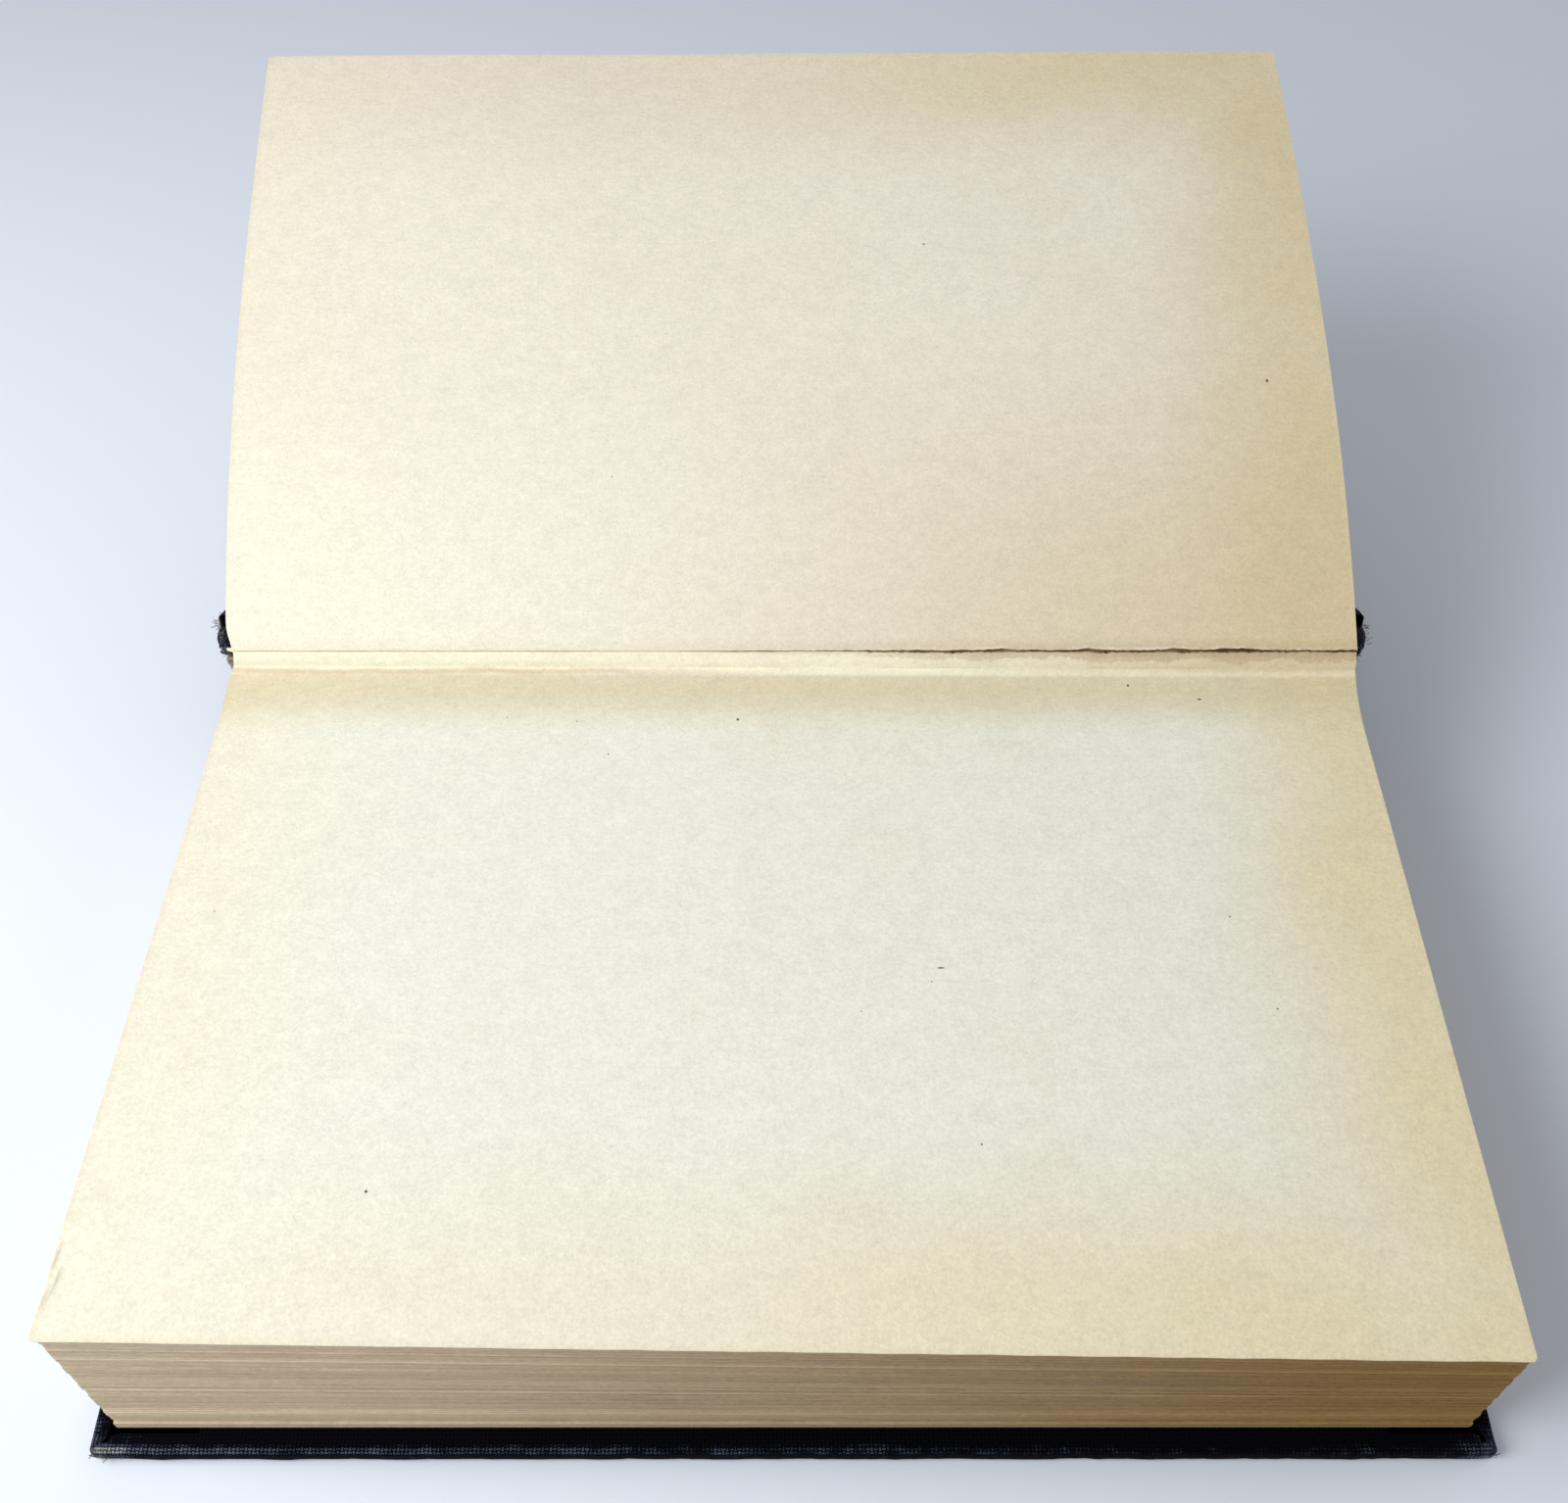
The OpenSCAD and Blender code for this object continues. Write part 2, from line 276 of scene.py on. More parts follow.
for name, values in (("level", PAGES_Z + PAGES_T * share), ("fore_set", fore_set),
                     ("end_set", END_FAN * share + draw.normal(END_TRIM, END_SPREAD, LEAF_COUNT))):
    levels.attributes.new(name, "FLOAT", "POINT").data.foreach_set("value", (values * MM).astype(np.float32))
levels.attributes.new("edge_tone_and_shading", "FLOAT", "POINT").data.foreach_set("value", edge_tone_and_shading.astype(np.float32))
page_edges = page_edge_finish()
pages = grown("pages", levels, leaf_tree(page_edges), **{
    "Height": PAGE_H * MM, "Leaf thickness": LEAF_FILL * PAGES_T / LEAF_COUNT * MM,
    "Spine line": SPINE_Y * MM, "Depth": PAGE_W * MM, "Shoulder run": SHOULDER_RUN * MM,
    "Fan": 2 * RIDGE_HALF / PAGES_T - 1, "Turn": BLOCK_TURN})
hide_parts("text_block")
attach(pages, "book_block")

# The first leaf: a blank endpaper that overhangs the trimmed pages and is pulled up at the gutter.
# It and the flyleaf were one folded sheet: the fold has cracked along the gutter, brown where the
# paper has torn down to the old paste, and this leaf ends at the bottom of that crack.
PAPER_T, LEAF_OVER, LEAF_CORNER = 0.2, 0.5, 0.5
LEAF_HALF, LEAF_DEPTH = 96.3, PAGE_W + LEAF_OVER
PAGE_TOP = PAGES_TOP + PAPER_T
FOLD = (62.262, 37.874)
FLYLEAF_L, ROOT_SLOPE, TIP_SLOPE = 122.7, 37.0, 16.5
SKEW, TWIST = math.radians(1.45), 1.35
FOOT_L = 15.0
RISE_DEPTH, RISE_FROM, RISE_RUN, RISE_H, RISE_POWER = 17.6, 46.0, 15.28, 2.78, 2.8
STRIP = [(61.33, 2.98), (61.36, 3.25), (61.4, 3.6), (61.5, 4.0), (61.66, 4.4), (61.86, 4.8),
         (62.06, 5.12), (62.2, 5.32)]
EDGE_WAVE, FACE_WAVE, GUTTER_WAVE = 0.03, 0.05, 0.12
EAR_W, EAR_DROP, CREASE_W = 1.7, 0.22, 0.5
EAR_FROM, EAR_OUT, EAR_TO, EAR_IN = 4.4, 3.1, 12.5, 5.0
TAIL_DRAW, GUTTER_SKEW, HEAD_DRAW, FOOT_DRAW = 0.45, 0.4, 1.2, 1.0
TORN_FROM, TORN_RUN, TORN_CURL = -18, 40, 0.06
FLAKES = ((36.0, 2.2), (50.3, 2.0), (65.3, 2.6), (75.5, 4.6))
CRACK_GAP, FLAKE_GAP, CRACK_DEPTH = 0.03, 0.28, 0.04
CRISP_EDGE = math.radians(50)
LEAF_SPECKS = [(-9.1, 51.4, 0.4, 1), (-30.4, 43.8, 0.22, 1), (57.3, 57.9, 0.34, 1), (69.2, 55.4, 0.24, 0.4),
               (66.9, 11.2, 0.24, 1), (22.1, 1.9, 0.2, 0.2), (20.6, -0.5, 0.2, 1), (26.0, -27.0, 0.24, 1),
               (71.1, -5.2, 0.26, 1), (10.0, -5.6, 0.18, 1), (-58.0, -34.0, 0.36, 1), (-48.0, 51.9, 0.2, 1),
               (-36.2, 51.0, 0.2, 1), (-88.7, 12.2, 0.18, 1)]
FLYLEAF_SPECKS = [(83.6, 104.8, 0.42, 1), (-31.0, 88.0, 0.16, 1), (24.0, 131.0, 0.16, 0.3)]


def ripple(x, seed, waves, longest, shortest):
    """A smooth wave of unit height along x, made of a few fixed sines."""
    pick = np.random.default_rng(seed)
    total = 0.0
    for _ in range(waves):
        total = total + np.sin(2 * np.pi * (x / pick.uniform(shortest, longest) + pick.uniform()))
    return total / math.sqrt(waves)


def flyleaf_points(x_share, s):
    """Upper face of the standing leaf: x_share from -1 to 1 along the gutter, s past the fold."""
    length = (FLYLEAF_L + x_share * LEAF_HALF * math.sin(SKEW)) * math.cos(SKEW)
    fine = np.linspace(0.0, 130.0, 1041)
    slope = np.radians(TIP_SLOPE + (ROOT_SLOPE - TIP_SLOPE) * np.clip(1 - fine / FLYLEAF_L, 0, None) ** 2)
    run = np.concatenate([[0], np.cumsum((np.cos(slope[1:]) + np.cos(slope[:-1])) / 2 * np.diff(fine))])
    lift = np.concatenate([[0], np.cumsum((np.sin(slope[1:]) + np.sin(slope[:-1])) / 2 * np.diff(fine))])
    here = np.interp(s, fine, slope)
    x = x_share * LEAF_HALF - s * math.tan(SKEW)
    y = FOLD[0] + np.interp(s, fine, run) - PAPER_T * np.sin(here)
    z = FOLD[1] + np.interp(s, fine, lift) + PAPER_T * np.cos(here) - x_share * TWIST * s / length
    return np.stack(np.broadcast_arrays(x, y, z), -1)


def sheet_piece(name, top, thickness, finish, marks, plan=None):
    """A closed thin sheet under a grid of points in mm, smooth on its faces and crisp at its rim."""
    rows, cols = top.shape[:2]
    normal = np.cross(np.gradient(top, axis=1), np.gradient(top, axis=0))
    normal /= np.linalg.norm(normal, axis=-1, keepdims=True)
    points = np.concatenate([top.reshape(-1, 3), (top - thickness * normal).reshape(-1, 3)]) * MM
    number = np.arange(rows * cols).reshape(rows, cols)
    a, b, c, d = number[:-1, :-1], number[:-1, 1:], number[1:, 1:], number[1:, :-1]
    upper = np.stack([a, b, c, d], -1).reshape(-1, 4)
    lower = np.stack([a, d, c, b], -1).reshape(-1, 4) + rows * cols
    rim = np.concatenate([number[0, :-1], number[:-1, -1], number[-1, :0:-1], number[:0:-1, 0]])
    after = np.roll(rim, -1)
    wall = np.stack([rim, rim + rows * cols, after + rows * cols, after], -1)
    mesh = bpy.data.meshes.new(name)
    mesh.from_pydata(points.tolist(), [], np.concatenate([upper, lower, wall]).tolist())
    for mark, values in marks.items():
        stored = mesh.attributes.new(mark, "FLOAT", "POINT")
        stored.data.foreach_set("value", np.tile(np.asarray(values, np.float32).ravel(), 2))
    if plan is not None:
        corner = np.zeros(len(mesh.loops), np.int32)
        mesh.loops.foreach_get("vertex_index", corner)
        spread = np.tile(plan.reshape(-1, 2), (2, 1)) * MM
        mesh.uv_layers.new(name="plan").data.foreach_set("uv", spread[corner].astype(np.float32).ravel())
    mesh.materials.append(finish)
    tidy_faces(mesh)
    piece = bpy.data.objects.new(name, mesh)
    bpy.context.scene.collection.objects.link(piece)
    return piece


def tidy_faces(mesh):
    """Faces outwards, smooth but for the crisp edges."""
    work = bmesh.new()
    work.from_mesh(mesh)
    bmesh.ops.recalc_face_normals(work, faces=work.faces)
    work.to_mesh(mesh)
    work.free()
    mesh.polygons.foreach_set("use_smooth", np.ones(len(mesh.polygons), bool))
    mesh.set_sharp_from_angle(angle=CRISP_EDGE)
    mesh.update()


def speck_mask(place, specks):
    """Small dark flecks and hairs in the paper, each at its own spot on the leaf."""
    total = None
    for x, y, width, stretch in specks:
        spot = place.stretched((stretch, 0.8, 0), (-x * stretch * MM, -0.8 * y * MM, 0))
        away = spot.node("ShaderNodeVectorMath", {"operation": "LENGTH"}, {0: spot}, 1)
        mask = away.rise(width * 0.75 * MM, width * 0.3 * MM)
        total = mask if total is None else total.above(mask)
    return total


def paper_finish(name, centre, head_margin, tail_margin_and_shade, specks, gutter_tone):
    """Old machine paper: soft clouds, felt grain, toned margins, flecks and a stained gutter, with painted
    shade in the gutter hollow, below the strip on the left half, at the flyleaf's far tip and on the tail
    margins, and painted light along the strip's ridge on the right half and at the flyleaf's root.
    """
    material, place, shader = start_finish(name, 0.86, 0.18)
    x = place.part(0)
    cloud = place.noise(26.0, 3.0, 0.55)
    blotch = place.noise(95.0, 3.0, 0.6)
    mottle = place.stretched((260, 380, 380)).noise(1.0, 3.0, 0.6)
    felt = place.stretched((800, 1300, 1300)).noise(1.0, 3.0, 0.65)
    grain = place.noise(2300.0, 2.0, 0.6)
    from_crack = read_mark(place, "from_crack")
    reach = read_mark(place, "from_rim")
    tail = x.rise(-0.06, 0.09)
    toned = reach.rise(36.0, 2.0) + (cloud - 0.5) * 1.0
    # The tail margins are browner by real toning, and also darker by painted shade on the side away from the
    # window.
    colour = toned.above(0.0).below(1.0).mix(centre, tail.mix(head_margin, tail_margin_and_shade))
    rosy = ((blotch - 0.5) * 2.0 + (cloud - 0.5)).rise(0.1, 0.7) * 0.26
    colour = rosy.mix(colour, (0.83, 0.735, 0.60, 1))
    near_gutter = from_crack.rise(70.0, 4.0) * x.rise(-0.035, 0.085) * gutter_tone
    colour = near_gutter.mix(colour, (0.74, 0.60, 0.37, 1))
    rim = reach.rise(1.2, 0.1) * 0.3
    colour = rim.mix(colour, (0.80, 0.68, 0.46, 1))
    # Painted shade in the gutter hollow below the strip, where the standing flyleaf keeps light off the
    # page.
    painted_hollow_shade = from_crack.rise(-17.0, -6.5) * from_crack.rise(-2.7, -4.6) * 0.75
    colour = painted_hollow_shade.mix(colour, (0.70, 0.60, 0.375, 1))
    strip = from_crack.rise(-4.4, -3.2) * from_crack.rise(0.6, 0.1) * 0.9
    colour = strip.mix(colour, x.rise(0.0, 0.085).mix((0.985, 0.93, 0.73, 1), (0.79, 0.655, 0.43, 1)))
    # A thin brownish line of painted shadow below the strip's ridge on the left half.
    groove = (from_crack + (blotch - 0.5) * 1.2 + 3.5).size().rise(0.8, 0.1) * x.rise(0.01, -0.05) * 0.7
    colour = groove.mix(colour, (0.66, 0.50, 0.34, 1))
    # A pale line of painted highlight along the strip's lower ridge on the right half.
    painted_ridge_highlight = (from_crack + 3.6 + (blotch - 0.5) * 0.6).size().rise(0.85, 0.1) * x.rise(-0.03, 0.02) * 0.4
    colour = painted_ridge_highlight.mix(colour, (0.95, 0.89, 0.65, 1))
    # Painted shade on the far part of the flyleaf's left half, which lies farther from the window.
    tip = from_crack.rise(80.0, 124.0) * x.rise(0.05, -0.05) * 0.55
    colour = tip.mix(colour, (0.74, 0.665, 0.545, 1))
    # Painted light on the lower left of the flyleaf and its fold, nearest the window.
    painted_root_light = from_crack.rise(60.0, 8.0) * from_crack.rise(-0.1, 0.3) * x.rise(0.01, -0.06) * 0.45
    colour = painted_root_light.mix(colour, (0.955, 0.925, 0.755, 1))
    ragged = place.noise(150.0, 6.0, 0.72) * 0.75 + place.noise(1100.0, 3.0, 0.6) * 0.25
    stained = x.rise(-0.03, 0.06)
    tide = from_crack + (ragged - 0.3) * 6.0 * stained
    stain = tide.rise(-0.7, 0.6) * from_crack.rise(-2.6, -0.3) * from_crack.rise(0.4, 0.0)
    stain = stain * stained * (ragged * 1.5 - 0.05)
    rimmed = tide.size().rise(0.22, 0.03) * from_crack.rise(0.4, 0.0) * stained * 0.35
    colour = ((stain + rimmed) * 0.9).above(0.0).below(0.62).mix(colour, (0.50, 0.365, 0.215, 1))
    browned = from_crack.rise(2.6, 0.0) * from_crack.rise(-0.2, 0.1)
    browned = browned * (stained * 0.65 + 0.2) * (mottle * 1.2)
    colour = browned.above(0.0).below(1.0).mix(colour, (0.60, 0.44, 0.27, 1))
    lip = from_crack.rise(0.75, 0.3) * from_crack.rise(0.03, 0.15) * stained * ragged.rise(0.4, 0.6) * 0.75
    colour = lip.mix(colour, (0.92, 0.85, 0.68, 1))
    # The crack mark also carries a painted shade line along the dog-ear's crease.
    colour = (read_mark(place, "crack") * (ragged + 0.5)).below(1.0).mix(colour, (0.15, 0.072, 0.012, 1))
    colour = speck_mask(place, specks).mix(colour, (0.10, 0.085, 0.065, 1))
    worn = mottle * 0.16 + felt * 0.24 + grain * 0.30 + 0.65
    colour = worn.node("ShaderNodeMix", {"data_type": "RGBA", "blend_type": "MULTIPLY"},
                       {0: 1.0, 6: colour, 7: worn}, 2)
    height = felt * 0.8 + grain * 0.5 + mottle * 0.7
    feed(shader, Base_Color=colour, Normal=bump(height, 0.5, 0.00018))
    return material


leaf_paper = paper_finish(
    "first_leaf_paper", centre=(0.885, 0.88, 0.775, 1), head_margin=(0.90, 0.855, 0.70, 1),
    tail_margin_and_shade=(0.845, 0.75, 0.50, 1), specks=LEAF_SPECKS, gutter_tone=0.0)
flyleaf_paper = paper_finish(
    "flyleaf_paper", centre=(0.875, 0.825, 0.70, 1), head_margin=(0.875, 0.815, 0.665, 1),
    tail_margin_and_shade=(0.77, 0.66, 0.43, 1), specks=FLYLEAF_SPECKS, gutter_tone=0.75)

along = np.linspace(-1, 1, 421)
fore = SPINE_Y - LEAF_DEPTH
flat_y = fore + (LEAF_DEPTH - RISE_DEPTH) * np.linspace(0, 1, 27) ** 1.35
rising = [(y, RISE_H * ((y - RISE_FROM) / RISE_RUN) ** RISE_POWER)
          for y in np.linspace(RISE_FROM + 2, RISE_FROM + RISE_RUN, 15)]
section = [(y, 0.0) for y in flat_y] + rising + STRIP
section = np.array([(y, PAGE_TOP + z) for y, z in section])
strip_end = len(section)
step = np.hypot(*np.diff(section, axis=0).T)
crack_line = np.concatenate([np.cumsum(step[::-1])[::-1] * -1, [0.0]])
X = np.broadcast_to(along * LEAF_HALF, (strip_end, along.size)).copy()
Y = np.broadcast_to(section[:, :1], X.shape).copy()
Z = np.broadcast_to(section[:, 1:], X.shape).copy()
from_fore = Y - fore
corner = np.clip(LEAF_CORNER - (LEAF_HALF - abs(X)), 0, None)
Y += (LEAF_CORNER - np.sqrt(LEAF_CORNER ** 2 - corner ** 2)) * np.clip(1 - from_fore / 3, 0, 1)
Y += EDGE_WAVE * ripple(X, 3, 5, 40, 6) * np.clip(1 - from_fore / 6, 0, 1)
loose = np.clip(from_fore / 8, 0.3, 1) * np.clip((57 - Y) / 8, 0, 1)
Z += FACE_WAVE * (1 + ripple(X + 0.4 * Y, 5, 4, 150, 50)) * loose
ear = EAR_W * np.clip(np.minimum((EAR_TO - from_fore) / EAR_IN, (from_fore - EAR_FROM) / EAR_OUT), 0, 1)
Z -= EAR_DROP * np.clip(ear - (X + LEAF_HALF), 0, None)
# The dog-ear's crease is drawn as a dark line of painted shade, carried in the crack mark.
crease = np.clip(1 - abs(ear - (X + LEAF_HALF)) / CREASE_W, 0, 1) * np.clip(ear / CREASE_W, 0, 1)
turned = np.clip((SPINE_Y - Y) / LEAF_DEPTH, 0, 1)
X, Y = X + turned * LEAF_DEPTH * math.sin(BLOCK_TURN), Y + turned * X * math.sin(BLOCK_TURN)
X -= TAIL_DRAW * turned * np.clip(X / LEAF_HALF, 0, 1)
page = np.stack([X, Y, Z], -1)
x = along * LEAF_HALF
gutter_rows = np.clip((section[:, 0] - 52.0) / 8.0, 0, 1) * np.clip((37.2 - section[:, 1]) / 1.8, 0, 1)
page[..., 1] -= gutter_rows[:, None] * GUTTER_SKEW * (1 + along)
drawn_in = np.clip((-along - 0.9) / 0.1, 0, 1)
page[..., 0] += HEAD_DRAW * drawn_in * np.exp(-(crack_line[:, None] / 4.5) ** 2)
torn = np.clip((x - TORN_FROM) / TORN_RUN, 0, 1)
fray = 0.05 * ripple(x, 11, 6, 12, 2.0) + torn * (0.2 * ripple(x, 12, 9, 5, 1.0))
in_strip = np.clip((np.arange(strip_end) - (strip_end - 5)) / 4, 0, 1)[:, None]
page[..., 2] += in_strip * (0.11 - 0.04 * torn - torn * np.abs(fray))
in_gutter = np.clip((np.arange(strip_end) - (strip_end - 9)) / 4, 0, 1)[:, None]
page[..., 1] += GUTTER_WAVE * ripple(x, 15, 5, 60, 14) * in_gutter
flakes = sum(np.exp(-((x - at) / half) ** 2) for at, half in FLAKES)
ragged = 0.03 + 0.05 * ripple(x, 21, 8, 14, 1.2) + 0.05 * ripple(x, 22, 6, 3.2, 1.1)
gap_width = CRACK_GAP + torn * ragged.clip(0.0, 0.2) + FLAKE_GAP * flakes
foot_s = np.array([0.0, 0.12, 0.4, 0.9, 1.6, 2.5, 3.6, 4.8, 6.0, 8.0, 10.0, 12.5, FOOT_L])
foot = np.stack([flyleaf_points(along, s * (1 - gap_width / FOOT_L) + gap_width) for s in foot_s])
deep = np.stack([x, 0.5 * (page[-1, :, 1] + foot[0, :, 1]) + 0.5,
                 np.minimum(page[-1, :, 2], foot[0, :, 2]) - CRACK_DEPTH - 0.2 * torn], -1)
curl = TORN_CURL * torn * (1 + ripple(x, 31, 7, 6, 1.2))
foot[..., 0] += FOOT_DRAW * drawn_in * np.exp(-(foot_s[:, None] / 2.6) ** 2)
foot[0, :, 2] += curl
foot[1, :, 2] += curl * 0.8
foot[2, :, 2] += curl * 0.4
groove = np.stack([deep, deep + [0, 0.12, 0.1]])
dark = np.clip(0.75 + 0.3 * ripple(x, 41, 6, 30, 3), 0.35, 1)
lips = 0.06 + torn * np.clip(0.22 + 0.2 * ripple(x, 42, 8, 9, 1.5), 0, 1) + 0.45 * flakes
floor_dark = 0.45 + 0.45 * torn
side_gap = LEAF_HALF - abs(x)
first_leaf = sheet_piece("first_leaf_page", np.concatenate([page, groove[:1]]), PAPER_T, leaf_paper, {
    "from_crack": np.concatenate([np.broadcast_to(crack_line[:, None], crease.shape), 0 * x[None]]),
    "crack": np.concatenate([0.45 * crease[:-1], (dark * lips)[None], (dark * floor_dark)[None]]),
    "from_rim": np.concatenate([np.minimum(side_gap, from_fore), side_gap[None]])})
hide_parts("first_leaf")
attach(first_leaf, "book_block")
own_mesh(first_leaf)

# The fold of the endpaper: the flyleaf's root, which stands in the gutter beyond the crack.
past_crack = np.broadcast_to(foot_s[:, None] + 0.05, foot.shape[:2])
fold = sheet_piece("endpaper_fold", np.concatenate([groove, foot]), PAPER_T, flyleaf_paper, {
    "from_crack": np.concatenate([np.zeros((2, x.size)), past_crack]),
    "crack": np.concatenate([np.stack([dark * floor_dark] * 2), (dark * lips)[None],
                             np.zeros((len(foot_s) - 1, x.size))]),
    "from_rim": np.broadcast_to(side_gap, (len(foot_s) + 2, x.size))})
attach(fold, "book_block")
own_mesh(fold)

# The front flyleaf: the other half of that sheet, a blank leaf that stands up from the gutter.
# It is stiff enough to stand and droops towards its free edge.
COVER_LEAN = math.radians(16.6707)
FLYLEAF_WAVE = 0.10
across = np.linspace(-1, 1, 161)
length = (FLYLEAF_L + across * LEAF_HALF * math.sin(SKEW)) * math.cos(SKEW)
past = np.linspace(0, 1, 91)[:, None] ** 1.1
s = FOOT_L + past * (length - FOOT_L)
leaf = flyleaf_points(np.broadcast_to(across, s.shape), s)
edge = np.clip(1.0 - (LEAF_HALF - abs(across) * LEAF_HALF), 0, None) * np.clip(1 - (length - s) / 4, 0, 1)
leaf[..., 1] -= edge * 0.5
swell = FLYLEAF_WAVE * ripple(across * LEAF_HALF + 0.5 * s, 51, 4, 120, 45)
leaf[..., 2] += swell * np.clip((s - FOOT_L) / 30, 0, 1)
rim = np.minimum(np.broadcast_to(LEAF_HALF - abs(across) * LEAF_HALF, s.shape), length - s)
flyleaf = sheet_piece("standing_flyleaf", leaf, PAPER_T, flyleaf_paper,
                      {"from_crack": s, "crack": np.zeros(s.shape), "from_rim": rim})
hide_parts("front_flyleaf")
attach(flyleaf, "front_cover")
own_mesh(flyleaf)

# The rear flyleaf and the two pastedowns: plain endpapers, one loose under the pages, two pasted
# down over the cloth turned in round each board, whose edge shows through the paper.
COVER_FORE, BOARD_BACK, COVER_HALF = -58.9616, 58.2616, 98.5
TURN_IN = 15.0


def pasted_paper():
    """Endpaper pasted down: the edge of the turned-in cloth stands out under it."""
    material, place, shader = start_finish("pasted_endpaper", 0.86, 0.18)
    cloud = place.noise(24.0, 3.0, 0.55)
    blotch = place.noise(90.0, 3.0, 0.6)
    felt = place.stretched((520, 900, 900)).noise(1.0, 3.0, 0.6)
    side = place.part(0).size()
    frame_in = (COVER_HALF - TURN_IN) * MM
    step = side.rise(frame_in - 0.0008, frame_in + 0.0008)
    colour = (cloud * 1.4 - 0.2).above(0.0).below(1.0).mix((0.83, 0.77, 0.62, 1), (0.80, 0.70, 0.50, 1))
    colour = (step * 0.35 + (blotch - 0.5) * 0.5).above(0.0).mix(colour, (0.68, 0.56, 0.37, 1))
    feed(shader, Base_Color=colour, Normal=bump(felt * 0.6 + blotch * 0.4 + step * 1.5, 0.3, 0.0002))
    return material


endpaper = pasted_paper()
for name in ("rear_flyleaf", "front_pastedown", "back_pastedown"):
    nodes[name].data.materials.clear()
    nodes[name].data.materials.append(endpaper)

# The spine lining and the stiffener: open-weave cotton pasted over the sewn back, and a strip of
# card that keeps the cloth of the spine in its curve. Both are hidden but at head and tail.
MULL_PITCH = 1.1


def mull_finish():
    material, place, shader = start_finish("open_weave_cotton", 0.95, 0.1)
    pitch = 2 * math.pi / (MULL_PITCH * MM)
    warp = place.sum("SINE", place.part(0) * pitch)
    weft = place.sum("SINE", place.part(2) * pitch)
    thread = warp.above(weft)
    colour = thread.rise(-0.2, 0.7).mix((0.34, 0.26, 0.16, 1), (0.74, 0.68, 0.55, 1))
    feed(shader, Base_Color=colour, Normal=bump(thread, 0.5, 0.0002))
    return material


def board_finish():
    """Grey-brown pulp board with coarse fibres."""
    material, place, shader = start_finish("grey_board", 0.92, 0.15)
    pulp = place.noise(700.0, 4.0, 0.7)
    cloud = place.noise(60.0, 2.0, 0.5)
    colour = (pulp * 0.8 + cloud * 0.4 - 0.1).mix((0.26, 0.22, 0.165, 1), (0.50, 0.45, 0.36, 1))
    feed(shader, Base_Color=colour, Normal=bump(pulp, 0.4, 0.0002))
    return material


mull, grey_board = mull_finish(), board_finish()
for name, finish in (("spine_lining", mull), ("spine_stiffener", grey_board),
                     ("front_board", grey_board), ("back_board", grey_board)):
    nodes[name].data.materials.clear()
    nodes[name].data.materials.append(finish)

# The cloth of the spine: black plain-weave book cloth drawn round the stiffener from joint to joint.
# Its ends are worn ragged at head and tail, the head end more than the other.
CLOTH_T, WRAP_R, MID_Z = 0.35, 60.8905, 17.975
HINGE_Y, HINGE_Z = 65.1616, 35.775
WEAVE = 0.56


def cloth_finish():
    """Black book cloth in a plain weave, its thread crowns rubbed grey-blue, bare at worn places."""
    material, place, shader = start_finish("black_book_cloth", 0.85, 0.04)
    spread = place.node("ShaderNodeUVMap", {"uv_map": "plan"})
    u, v = spread.part(0), spread.part(1)
    wander = spread.noise(260.0, 2.0, 0.5) - 0.5
    turn = math.pi / (WEAVE * MM)
    across = (u + wander * 0.00012) * turn
    down = (v + wander * 0.00012) * turn
    warp, weft = u.sum("SINE", across), u.sum("SINE", down)
    over = (warp * weft).rise(-0.15, 0.15)
    crown = over * warp.size() + (1 - over) * weft.size()
    rubbed = spread.noise(420.0, 4.0, 0.7)
    patch = spread.noise(70.0, 3.0, 0.6)
    wear = read_mark(place, "wear")
    bare = (crown * 0.55 + rubbed * 0.9 + patch * 0.5 + wear * 0.75 - 1.42)
    colour = crown.mix((0.0003, 0.0003, 0.0006, 1), (0.0022, 0.0024, 0.006, 1))
    colour = bare.rise(0.0, 0.45).mix(colour, (0.095, 0.115, 0.18, 1))
    colour = (bare - 0.34).rise(0.0, 0.3).mix(colour, (0.50, 0.46, 0.38, 1))
    feed(shader, Base_Color=colour, Normal=bump(crown + rubbed * 0.4, 0.7, 0.00014))
    return material


book_cloth = cloth_finish()
arc = math.asin((HINGE_Z - MID_Z - 0.75) / (WRAP_R + CLOTH_T))
swing = np.linspace(-arc, arc, 61)[:, None]
lengthwise = np.linspace(-1, 1, 181)[None]
up_share = np.linspace(0, 1, 61)[:, None]
ragged = 0.35 * (1 + ripple(up_share * 36, 61, 7, 7, 0.9)) * np.clip((up_share - 0.55) / 0.4, 0.12, 1)
end = COVER_HALF - np.where(lengthwise < 0, 1.6, 0.35) * ragged
radius = WRAP_R + CLOTH_T + 0.05 * ripple(lengthwise * COVER_HALF + 9 * swing, 63, 4, 60, 12)
spine_top = np.stack(np.broadcast_arrays(
    lengthwise * end, SPINE_CENTRE + radius * np.cos(swing), MID_Z + radius * np.sin(swing)), -1)
spine_plan = np.stack(np.broadcast_arrays(lengthwise * end, swing * WRAP_R), -1)
end_wear = np.broadcast_to(np.clip((abs(lengthwise) - 0.955) / 0.045, 0, 1), spine_top.shape[:2])
spine_wear = 0.25 + 0.6 * end_wear
spine = sheet_piece("spine_cover_cloth", spine_top, -CLOTH_T, book_cloth, {"wear": spine_wear}, spine_plan)
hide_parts("spine_cloth")
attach(spine, "book_block")

# The cloth of each cover: glued over the board's outside, drawn round its three free edges, turned in
# under the pastedown, and carried on across the joint to the spine, where it bends.
# The corners are rubbed through to the pale threads.
COVER_T, CORNER_R, EDGE_R = 2.85, 0.9, 0.65
RIM_D, HEM_D = 6.0, 8.0
FRONT_OUT_Z, FRONT_FLARE = 35.95, 1.9
RUB_REACH, RUB_DEPTH, FLARE_REACH = 5.5, 0.12, 4.5
UNEVEN, FINE_UNEVEN, SOFTENED = 0.05, 0.035, 0.03
ARRIS_AT, ARRIS_W = 0.96, 0.35


